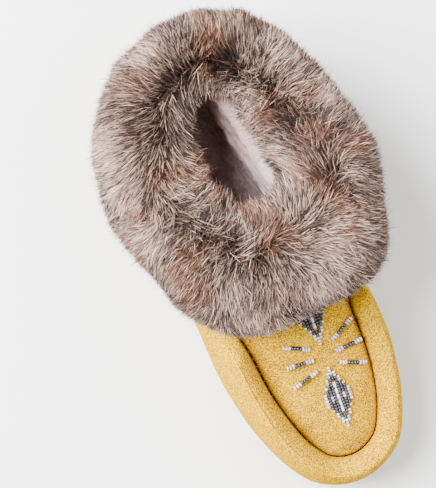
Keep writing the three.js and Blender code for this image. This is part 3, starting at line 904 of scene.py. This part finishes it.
def surface_frame(x, y, direction):
    """Axes at a spot of the plug: along a plan direction, sideways, and up off the surface."""
    step = 0.5
    across, along = (float(plug_height(x + dx, y + dy, False) - plug_height(x - dx, y - dy, False))
                     for dx, dy in ((step, 0), (0, step)))
    normal = unit(np.array([-across, -along, 2 * step]))
    ahead = np.array([direction[0], direction[1], 0.0])
    ahead = unit(ahead - normal * (ahead @ normal))
    return ahead, np.cross(normal, ahead), normal


def add_beads(name, rows, materials, replaces, seed, radius=BEAD_RADIUS):
    """Beads given as (x, y, direction, length, material index)."""
    random = np.random.default_rng(seed)
    parts, kinds = [], []
    for x, y, direction, length, kind in rows:
        size = random.uniform(0.94, 1.06)
        points, quads = lathe_bead(length * random.uniform(0.95, 1.03), radius * size)
        ahead, side, normal = surface_frame(x, y, direction)
        tilt = random.normal(0, 0.05)
        ahead, side = ahead * np.cos(tilt) + side * np.sin(tilt), side * np.cos(tilt) - ahead * np.sin(tilt)
        rise = float(plug_height(x, y, False)) + GAP * 0.6
        centre = np.array([x, y, rise]) + normal * radius * random.uniform(0.92, 1.06)
        thread, thread_quads = lathe_bead(length + 0.5, 0.55 * radius, segments=6)
        for shape, shape_quads, its_kind in ((points, quads, kind), (thread, thread_quads, CORE)):
            parts.append((centre + shape @ np.stack([ahead, side, normal]), [shape_quads]))
            kinds.append(np.full(len(shape_quads), its_kind))
    points, faces = join(parts)
    add_piece(name, points, [np.concatenate(faces)], materials, "beads", replaces=replaces,
              face_materials=np.concatenate(kinds))


def plan_direction(degrees):
    return np.array([np.cos(np.radians(degrees)), np.sin(np.radians(degrees))])


def turned(away, aside, degrees, spot):
    cos, sin = plan_direction(degrees)
    return spot[0] + away * cos - aside * sin, spot[1] + away * sin + aside * cos


def diamond_rows(degrees):
    """Chart of a diamond: columns of beads along its axis, pale at the edge and dark inside,
    a line of bugles down the middle and a pale group on either side of it."""
    direction = plan_direction(degrees)
    middle = DIAMOND_START + DIAMOND_LENGTH / 2
    half_columns = (DIAMOND_COLUMNS - 1) // 2
    spacing = (DIAMOND_WIDTH / 2 - BEAD_RADIUS) / half_columns
    rows = []
    for across in range(-half_columns, half_columns + 1):
        reach = 1 - abs(across) * spacing / (DIAMOND_WIDTH / 2 * 1.14)
        count = max(3, int(round(DIAMOND_LENGTH * reach / BEAD_PITCH)))
        for k in range(count):
            place = (k - (count - 1) / 2) * BEAD_PITCH
            if across == 0 and abs(place) < 0.29 * DIAMOND_LENGTH:
                continue
            x, y = turned(middle + place, across * spacing, degrees, BEAD_CENTRE)
            pale = min(k, count - 1 - k) < PALE_ENDS[abs(across)]
            pale = pale or (abs(across) == 2 and abs(place) < 1.2 * BEAD_PITCH)
            rows.append((x, y, direction, BEAD_LENGTH, WHITE if pale else NIGHT))
    bugle_pitch = BUGLE_LENGTH + 0.2
    bugles = int(0.58 * DIAMOND_LENGTH / bugle_pitch)
    for k in range(bugles):
        x, y = turned(middle + (k - (bugles - 1) / 2) * bugle_pitch, 0, degrees, BEAD_CENTRE)
        rows.append((x, y, direction, BUGLE_LENGTH, BUGLE))
    return rows


def ray_rows(outward, middle_degrees, spread, step):
    """Chart of a ray: pale beads, dark ones and pale ones again."""
    start = turned(RAY_START, 0, outward - BEAD_TURN, BEAD_CENTRE)
    start = turned(step * RAY_STEP, 0, 90 - BEAD_TURN, start)
    degrees = middle_degrees + (-step if outward else step) * spread
    rows = []
    for k in range(RAY_BEADS):
        x, y = turned((k + 0.5) * RAY_LENGTH / RAY_BEADS, 0, degrees, start)
        kind = NIGHT if RAY_PALE <= k < RAY_BEADS - RAY_PALE else WHITE
        rows.append((x, y, plan_direction(degrees), BEAD_LENGTH, kind))
    return rows


def add_beadwork():
    materials = [
        bead_material("bead_white", BEAD_PEARL, BEAD_WHITE, 0, 0.22),
        bead_material("bead_night", BEAD_NIGHT, BEAD_STEEL, 0.2, 0.25),
        bead_material("bead_bugle", BEAD_WHITE, BEAD_BUGLE, 0, 0.12),
        bead_material("bead_thread", BEAD_CORD, BEAD_CORD, 0, 0.9),
    ]
    for name, degrees, seed in (("diamond_front", -90, 11), ("diamond_back", 90, 12)):
        add_beads(f"beads_{name}", diamond_rows(degrees - BEAD_TURN), materials, [f"bead_{name}"], seed)
    for number, (side, outward, degrees, spread) in enumerate(RAYS):
        for step in (1, 0, -1):
            name = f"ray_{side}_{2 - step}"
            add_beads(f"beads_{name}", ray_rows(outward, degrees, spread, step), materials,
                      [f"bead_{name}"], 20 + 3 * number + step, RAY_BEAD_RADIUS)


# Stitches
def stitch_points(centre, ahead, normal, length, radius):
    """A short thread that dips into the leather at both ends."""
    share = np.array([-1, -0.78, -0.4, 0, 0.4, 0.78, 1])
    thick = np.array([0.55, 0.9, 1, 1, 1, 0.9, 0.55]) * radius
    dip = radius * (0.55 - 1.9 * np.abs(share) ** 4)
    angle = round_ring(2 * np.pi, 6)
    side = np.cross(normal, ahead)
    spine = centre + share[:, None] * length / 2 * ahead + dip[:, None] * normal
    ring = np.cos(angle)[:, None] * side + np.sin(angle)[:, None] * normal
    points = spine[None, :, :] + ring[:, None, :] * thick[None, :, None]
    caps = np.array([np.arange(6) * 7, np.arange(6)[::-1] * 7 + 6])
    return points.reshape(-1, 3), [grid_faces(6, 7, ring=True)[:, ::-1], caps]


def measured(path):
    """Distance travelled along a path at each of its points."""
    return np.concatenate([[0], np.cumsum(np.linalg.norm(np.diff(path, axis=0), axis=1))])


def path_at(travelled, path, at):
    return np.array([np.interp(at, travelled, path[:, axis]) for axis in range(path.shape[1])])


def stitches_along(place, level, distance):
    """Running stitches of even length along a line on the wall."""
    place, level = np.broadcast_arrays(np.asarray(place, float), level)
    path = off_skin(place, level, distance + wall_relief(place, level))
    normals = skin_normal(place, level)
    travelled, pitch = measured(path), STITCH_LENGTH + STITCH_GAP
    parts = []
    for k in range(int(travelled[-1] / pitch)):
        middle = (k + 0.5) * pitch
        before, after = (path_at(travelled, path, middle + way * STITCH_LENGTH / 2) for way in (-1, 1))
        ahead = unit(after - before)
        normal = unit(path_at(travelled, normals, middle))
        normal = unit(normal - ahead * (ahead @ normal))
        spot = path_at(travelled, path, middle)
        parts.append(stitch_points(spot, ahead, normal, STITCH_LENGTH, STITCH_RADIUS))
    return parts


def add_stitches():
    thread = thread_material()
    parts = []
    for start, end in ((band_start, 1 - tab_half - 0.01), (1 + tab_half + 0.01, 2 - band_start)):
        parts += stitches_along(np.linspace(start, end, 160), band_seam + 0.022, GAP + BAND_THICKNESS)
    for place in (1 - tab_half + 0.011, 1 + tab_half - 0.011):
        parts += stitches_along(place, np.linspace(0.12, BAND_TOP - 0.01, 80), GAP + BAND_THICKNESS * 1.55)
    add_piece("stitches_quarter", *join(parts), thread, "suede")
    whips = []
    travelled = measured(plug_outline)
    for k in range(int(travelled[-1] / WHIP_PITCH)):
        at = (k + 0.5) * WHIP_PITCH
        x, y = path_at(travelled, plug_outline, at)
        if seam_depth(x, y) < 0.8:
            continue
        index = int(np.searchsorted(travelled, at))
        line = unit(plug_outline[min(index + 1, len(plug_outline) - 1)] - plug_outline[index - 1])
        ahead = unit(np.array([0.5 * line[0] - line[1], line[0] + 0.5 * line[1], 0]))
        spot = np.array([x, y, float(plug_height(x, y)) + 0.5])
        whips.append(stitch_points(spot, ahead, np.array([0, 0, 1.0]), WHIP_LENGTH, WHIP_RADIUS))
    add_piece("stitches_plug", *join(whips), thread, "suede")


# Fur
def make_fur_edges():
    turn, inside, outside = np.array(FUR_PLAN).T
    turns = np.concatenate([turn + around for around in (-360, 0, 360)])
    return [smooth_curve(turns, np.tile(edge, 3)) for edge in (inside, outside)]


fur_inside, fur_outside = make_fur_edges()


def ring_sizes(turn):
    """Middle and half of the pile's reach, its rise and drop, and the height of its middle line."""
    degrees = np.degrees(turn) % 360
    inside, outside = FUR_REACH * fur_inside(degrees), FUR_REACH * fur_outside(degrees)
    front = (1 - np.sin(turn)) / 2
    up, down = mix(FUR_RISE_HEEL, FUR_RISE_FRONT, front), mix(FUR_DROP_HEEL, FUR_DROP_FRONT, front)
    return (outside + inside) / 2, (outside - inside) / 2, up, down, FUR_HEIGHT - FUR_PITCH * np.sin(turn)


def ring_spot(turn, reach, height):
    return np.stack([FUR_CENTRE[0] + reach * np.cos(turn), FUR_CENTRE[1] + reach * np.sin(turn), height], -1)


def fur_point(turn, lap, proud):
    """A point round the ring; a lap of 0 faces out, a quarter turn faces up."""
    middle, half, up, down, height = ring_sizes(turn)
    rise = np.sin(lap) * (np.where(np.sin(lap) > 0, up, down) + proud)
    return ring_spot(turn, middle + (half + proud) * np.cos(lap), height + rise)


def kept_in(points, proud):
    """Points drawn back to a distance off the pile's surface."""
    rel = points[:, :2] - np.array(FUR_CENTRE)
    turn, reach = np.arctan2(rel[:, 1], rel[:, 0]), np.hypot(rel[:, 0], rel[:, 1])
    middle, half, up, down, height = ring_sizes(turn)
    across, rise = reach - middle, points[:, 2] - height
    share = np.hypot(across / (half + proud), rise / (np.where(rise > 0, up, down) + proud))
    shrink = 1 / np.maximum(share, 1)
    return ring_spot(turn, middle + across * shrink, height + rise * shrink)


def fur_axes(turn, lap):
    """Off the ring, outward over it, and round it."""
    nudge = 0.01
    normal = unit(fur_point(turn, lap, 1 - ROOT_DEPTH) - fur_point(turn, lap, -ROOT_DEPTH))
    outward = unit(fur_point(turn, lap - nudge, -ROOT_DEPTH) - fur_point(turn, lap + nudge, -ROOT_DEPTH))
    outward = unit(outward - normal * np.sum(outward * normal, axis=-1, keepdims=True))
    return normal, outward, np.cross(outward, normal)


def combing(turn):
    """Swerve and parting of the pile there, in degrees."""
    turns, swerve, parting = np.array(COMBING).T
    degrees = np.degrees(turn) % 360
    return np.interp(degrees, turns, swerve), np.interp(degrees, turns, parting)


def patch_weight(turn, lap, kind):
    """How far a place on the ring is within the patches of one kind, from 0 to 1."""
    here = fur_point(turn, lap, 0.0)
    weight = np.zeros(np.shape(turn))
    for degrees, lap_degrees, radius in PATCHES[kind]:
        spot = fur_point(np.radians(degrees), np.radians(lap_degrees), 0.0)
        near = np.exp(-np.sum((here - spot) ** 2, axis=-1) / (2 * (radius * PATCH_SOFTNESS) ** 2))
        weight = np.maximum(weight, near)
    return weight


def hair_shapes(turn, lap, random_length, random_lean, random_swerve, random_part):
    """Root, middle and tip of a hair at each place."""
    root = fur_point(turn, lap, -ROOT_DEPTH)
    normal, outward, round_ = fur_axes(turn, lap)
    lap_degrees = np.degrees(lap)
    swerve, parting = combing(turn)
    parting = parting + PARTING_WAVER * waver(root, 13, 3) + random_part
    side = (lap_degrees - parting) / PARTING_WIDTH
    away = np.tanh(side)
    swerve = np.radians(swerve + SWERVE_WAVER * waver(root, 14, 4)) + random_swerve
    whirl = (1 - np.abs(away)) * (0.6 + 0.9 * waver(root, 10, 5))
    flow = -away[..., None] * (outward * np.cos(swerve)[..., None])
    flow = flow + round_ * (np.sin(swerve) * np.where(away < 0, 1, 0.5))[..., None]
    flow = flow - round_ * whirl[..., None]
    down = smoothstep(15, -55, lap_degrees)[..., None]
    flow = flow * (1 - down) + np.array([0, 0, -1.0]) * down + 0.35 * down * normal
    flow = unit(flow + 1e-6)
    lean = np.radians(mix(*HAIR_LEANS, np.minimum(np.abs(side) / 2.4, 1))) + random_lean
    lean = lean + np.radians(16) * waver(root, 9, 8)
    lean = np.maximum(lean, np.radians(8))
    length = HAIR_LENGTH * random_length * (1 - 0.08 * patch_weight(turn, lap, "dark"))
    length = length * mix(0.84, 1.16, lattice_noise(root, 7, 9))
    early, late = ((normal * np.cos(angle)[..., None] + flow * np.sin(angle)[..., None])
                   for angle in (lean * 0.62, np.minimum(lean * 1.32, np.radians(84))))
    middle = root + early * (length * 0.52)[..., None]
    return root, middle, middle + late * (length * 0.48)[..., None]


def make_height_map():
    """Height of the leather's top over the forefoot, on a millimetre grid."""
    size = (120, 160)
    origin = np.array([-60.0, -135.0])
    heights = np.full(size, -1e3)
    place, level = grid(np.linspace(-0.62, 0.62, 700), np.linspace(0.3, 1, 260))
    rim = skin(place % 2, level)
    x, y = grid(np.arange(-32, 32, 0.5), np.arange(-112, -9, 0.5))
    inside = edge_distance(x, y) > 0
    plug = np.stack([x, y, plug_height(x, y)], -1)[inside]
    for cloud in (rim.reshape(-1, 3), plug):
        cell = np.floor(cloud[:, :2] - origin).astype(int)
        kept = np.all((cell >= 0) & (cell < size), axis=1)
        np.maximum.at(heights, (cell[kept, 0], cell[kept, 1]), cloud[kept, 2])
    return origin, heights


def above_leather(points, clearance, height_map):
    """Points lifted clear of the vamp."""
    origin, heights = height_map
    cell = np.floor(points[:, :2] - origin).astype(int)
    cell = np.clip(cell, 0, np.array(heights.shape) - 1)
    floor = heights[cell[:, 0], cell[:, 1]]
    inside = points[:, 1] < 22
    lifted = np.where(inside, np.maximum(points[:, 2], floor + clearance), points[:, 2])
    return np.column_stack([points[:, :2], lifted])


def outside_wall(points, lap):
    """Points on the outer side of the ring kept outside the quarters."""
    ring = outline(round_ring(2, 720))
    outward = right_of(unit(np.roll(ring, -1, axis=0) - np.roll(ring, 1, axis=0)))
    moved = points.copy()
    low = np.nonzero((points[:, 2] < HEEL_HEIGHT + 3) & (np.cos(lap) > -0.2) & (points[:, 1] > -12))[0]
    levels = np.linspace(0, 1, 60)
    for chunk in np.array_split(low, max(1, len(low) // 4000)):
        spots = points[chunk, :2]
        gaps = ((spots[:, None, :] - ring[None, :, :]) ** 2).sum(axis=2)
        nearest = gaps.argmin(axis=1)
        depth = -np.sum((spots - ring[nearest]) * outward[nearest], axis=1)
        share = np.clip(points[chunk, 2] / HEEL_HEIGHT, 0, 1)
        allowed = np.interp(share, side_up(levels), side_inward(levels)) * COLLAR_LEAN - BAND_THICKNESS - 1.4
        push = np.clip(depth - allowed, 0, 12)
        moved[chunk, :2] += outward[nearest] * push[:, None]
    return moved


def sample_ring(count, random):
    """Places spread evenly over the pile's surface, from under the outside to inside the mouth."""
    turns, laps, step = [], [], 0.01
    while sum(map(len, turns)) < count:
        turn = random.uniform(0, 2 * np.pi, count)
        lap = np.radians(random.uniform(*HAIR_LAPS, count))
        here = fur_point(turn, lap, 0.0)
        by_turn, by_lap = fur_point(turn + step, lap, 0.0) - here, fur_point(turn, lap + step, 0.0) - here
        area = np.linalg.norm(np.cross(by_turn, by_lap), axis=1)
        kept = random.uniform(0, 1, count) < area / area.max()
        turns.append(turn[kept])
        laps.append(lap[kept])
    return np.concatenate(turns)[:count], np.concatenate(laps)[:count]


def hair_tones(turn, lap, root, random):
    """Colours of each hair at its root, middle and tip."""
    rust, pale, dark = (
        np.maximum(patch_weight(turn, lap, kind),
                   strength * smoothstep(start, full, lattice_noise(root, size, seed)))
        for kind, (strength, start, full, size, seed) in BLOTCHES.items()
    )
    count = len(turn)
    kind = random.uniform(0, 1, count) + 0.7 * waver(root, 1.5, 24)
    kind = kind + 0.32 * pale - 0.25 * dark
    shadowy, tipped = (kind < 0.53)[:, None], (kind > 0.73)[:, None]
    light = np.exp(random.normal(-0.16, 0.5, count)) * mix(0.6, 1.3, lattice_noise(root, 6, 25))
    light = np.clip(light, 0.2, 2.4)[:, None]
    ivory, tan, brown, red, black = map(np.array, (HAIR_PALE, HAIR_TAN, HAIR_BROWN, HAIR_RUST, HAIR_DARK))
    body = np.where(shadowy, 0.24 * brown, np.where(tipped, 0.7 * tan, brown))
    body = mix(body, np.where(shadowy, 0.4, 1) * red, (rust * random.uniform(0.5, 1, count))[:, None])
    body = mix(body, ivory, np.where(shadowy, 0, 1) * (0.3 * pale)[:, None])
    body = mix(body, black, (0.45 * dark)[:, None])
    tip_share = random.normal(0, 0.2, count)[:, None] + np.where(tipped, 0.9, 0.26)
    tip_share = np.clip(tip_share + (0.45 * pale - 0.4 * rust - 0.4 * dark)[:, None], 0, 1)
    tip_share = tip_share * np.where(shadowy, 0.1, 1)
    tones = [mix(black, body, 0.2), np.clip(body * light, 0, 0.9),
             np.clip(mix(body, ivory, tip_share) * light, 0, 0.9)]
    return np.stack(tones, axis=1)


def clump_noise(a, b, c, seed):
    """A number from 0 to 1 for each cell of clumps."""
    return lattice_noise(np.stack([a, b, c], -1) + 0.5, 1.0, seed)


def clump_shapes(turn, lap, root):
    """Middle and tip of the hair in the heart of each hair's clump."""
    section = (FUR_RISE_FRONT + FUR_RISE_HEEL) / 2
    warp, other_warp = waver(root, 6, 31), waver(root, 6, 32)
    row = np.floor((lap * section + 3.5 * warp) / CLUMP_SPACING)
    radius = FUR_MIDDLE + FUR_HALF * np.cos((row + 0.5) * CLUMP_SPACING / section)
    around = np.maximum(np.round(2 * np.pi * radius / CLUMP_SPACING), 30)
    stagger = 0.5 * (row % 2)
    spot = np.floor(turn / (2 * np.pi) * around + other_warp + stagger)
    clump_turn = (spot + 0.25 + 0.5 * clump_noise(spot, row, spot + row, 33) - stagger) / around * 2 * np.pi
    clump_lap = (row + 0.25 + 0.5 * clump_noise(row, spot, row, 34)) * CLUMP_SPACING / section
    lean = np.radians(34) * (clump_noise(spot, row, row, 35) - 0.5)
    swerve = np.radians(78) * (clump_noise(row, row, spot, 36) - 0.5)
    part = 26 * (clump_noise(spot, spot, row, 37) - 0.5)
    return hair_shapes(clump_turn, clump_lap, np.full(HAIRS, 1.04), lean, swerve, part)[1:]


def fringe_reach(lap, root, stray, random):
    """How far off the solid's surface each hair may stand, with tufts and hollows."""
    reach = HAIR_PROUD * random.uniform(0.1, 1.5, HAIRS) + STRAY_REACH * stray * random.uniform(0, 1, HAIRS)
    reach = reach + 2.6 * np.maximum(waver(root, 11, 40), 0) + 1
    reach = reach * (1 + 1.2 * smoothstep(125, 165, np.degrees(lap)))
    hollow = 4.2 * (lattice_noise(root, 8.5, 38) - 0.45) + 2.4 * waver(root, 4, 39)
    return reach - np.maximum(hollow, 0)


def hair_ribbons(normal, root, middle, tip, stray, random):
    """Two points at each root, two at the middle and one at the tip."""
    along = unit(tip - root)
    flat = unit(np.cross(along, normal) + 1e-6)
    twist = random.uniform(-0.9, 0.9, HAIRS)[:, None]
    flat = unit(flat * np.cos(twist) + np.cross(along, flat) * np.sin(twist))
    width = HAIR_WIDTH * random.uniform(0.7, 1.2, HAIRS)[:, None] / 2
    width[stray] *= 0.7
    side = flat * width
    return np.stack([root - side, root + side, middle - side, middle + side, tip], axis=1)


def add_fur():
    random = np.random.default_rng(42)
    turn, lap = sample_ring(HAIRS, random)
    order = np.argsort(turn)
    turn, lap = turn[order], lap[order]
    length = np.clip(random.normal(1, 0.14, HAIRS), 0.55, 1.5)
    lean, swerve, part = (random.normal(0, spread, HAIRS) for spread in (12, 22, 12))
    root, middle, tip = hair_shapes(turn, lap, length, np.radians(lean), np.radians(swerve), part)
    # Hairs gather towards the tips of their clumps, all but a few stray ones
    clump_middle, clump_tip = clump_shapes(turn, lap, root)
    gather = np.clip(random.normal(0.6, 0.2, HAIRS), 0, 0.94)[:, None]
    stray = random.uniform(0, 1, HAIRS) < STRAY_SHARE
    gather[stray] *= 0.15
    middle, tip = mix(middle, clump_middle, gather * 0.4), mix(tip, clump_tip, gather)
    tip[stray] += (tip[stray] - middle[stray]) * 0.35
    fringe = fringe_reach(lap, root, stray, random)
    middle, tip = kept_in(middle, fringe * 0.5), kept_in(tip, fringe)
    # They lie on the vamp and stay outside the quarters
    heights = make_height_map()
    tones_at = root
    root = outside_wall(root, lap)
    middle = outside_wall(above_leather(middle, 0.8 + random.uniform(0, 1.6, HAIRS), heights), lap)
    tip = outside_wall(above_leather(tip, 0.3 + random.uniform(0, 1.8, HAIRS), heights), lap)
    points = hair_ribbons(fur_axes(turn, lap)[0], root, middle, tip, stray, random)
    colours = hair_tones(turn, lap, tones_at, random)[:, [0, 0, 1, 1, 2]]
    material = hair_material()
    for sector in range(HAIR_SECTORS):
        part = slice(HAIRS * sector // HAIR_SECTORS, HAIRS * (sector + 1) // HAIR_SECTORS)
        replaces = ["fur_collar"] if sector == 0 else []
        add_hair_piece(f"fur_hairs_{sector + 1}", points[part], colours[part], material, replaces)


def add_hair_piece(name, points, colours, material, replaces):
    count = len(points)
    base = np.arange(count)[:, None] * 5
    faces = [base + np.array([0, 1, 3, 2]), base + np.array([2, 3, 4])]
    mesh = add_piece(name, points.reshape(-1, 3), faces, material, "fur", replaces, painted_light=None).data
    set_colours(mesh, "hair_tone", colours.reshape(-1, 3))
    # One small cell of the map for each hair
    cells = int(np.ceil(np.sqrt(count)))
    corner = np.stack([np.arange(count) % cells, np.arange(count) // cells], -1)[:, None, :]
    quad_uv = corner + np.array([(0.15, 0.1), (0.85, 0.1), (0.85, 0.55), (0.15, 0.55)])
    tip_uv = corner + np.array([(0.15, 0.55), (0.85, 0.55), (0.5, 0.92)])
    uv = np.concatenate([quad_uv.reshape(-1, 2), tip_uv.reshape(-1, 2)]) / cells
    mesh.uv_layers.new(name="OFBake").data.foreach_set("uv", uv.astype(np.float32).ravel())


def add_underfur():
    """Dark woolly body of the collar, under the hairs."""
    rows, columns = 180, 60
    turn, lap = grid(round_ring(2 * np.pi, rows), round_ring(2 * np.pi, columns))
    body = fur_point(turn, lap, -ROOT_DEPTH - 0.6)
    body = body + fur_axes(turn, lap)[0] * (2.4 * waver(body, 5, 51))[..., None]
    add_piece("underfur", body.reshape(-1, 3), [grid_faces(rows, columns, ring=True, tube=True)],
              underfur_material(), "fur")


add_camera()
add_stage()
suede = nap_material("suede", SUEDE_DEEP, SUEDE_MID, SUEDE_LIGHT, 0.62, 15)
sole_middle = mix(np.array(SOLE_DEEP), np.array(SOLE_LIGHT), 0.5)
sole_suede = nap_material("sole_suede", SOLE_DEEP, sole_middle, SOLE_LIGHT, 1.4, 22)
pile = pile_material()
add_outsole(sole_suede)
add_insole(pile)
add_upper(suede, pile)
add_lining(pile)
add_plug(suede)
add_band(suede)
add_beadwork()
add_stitches()
add_underfur()
add_fur()
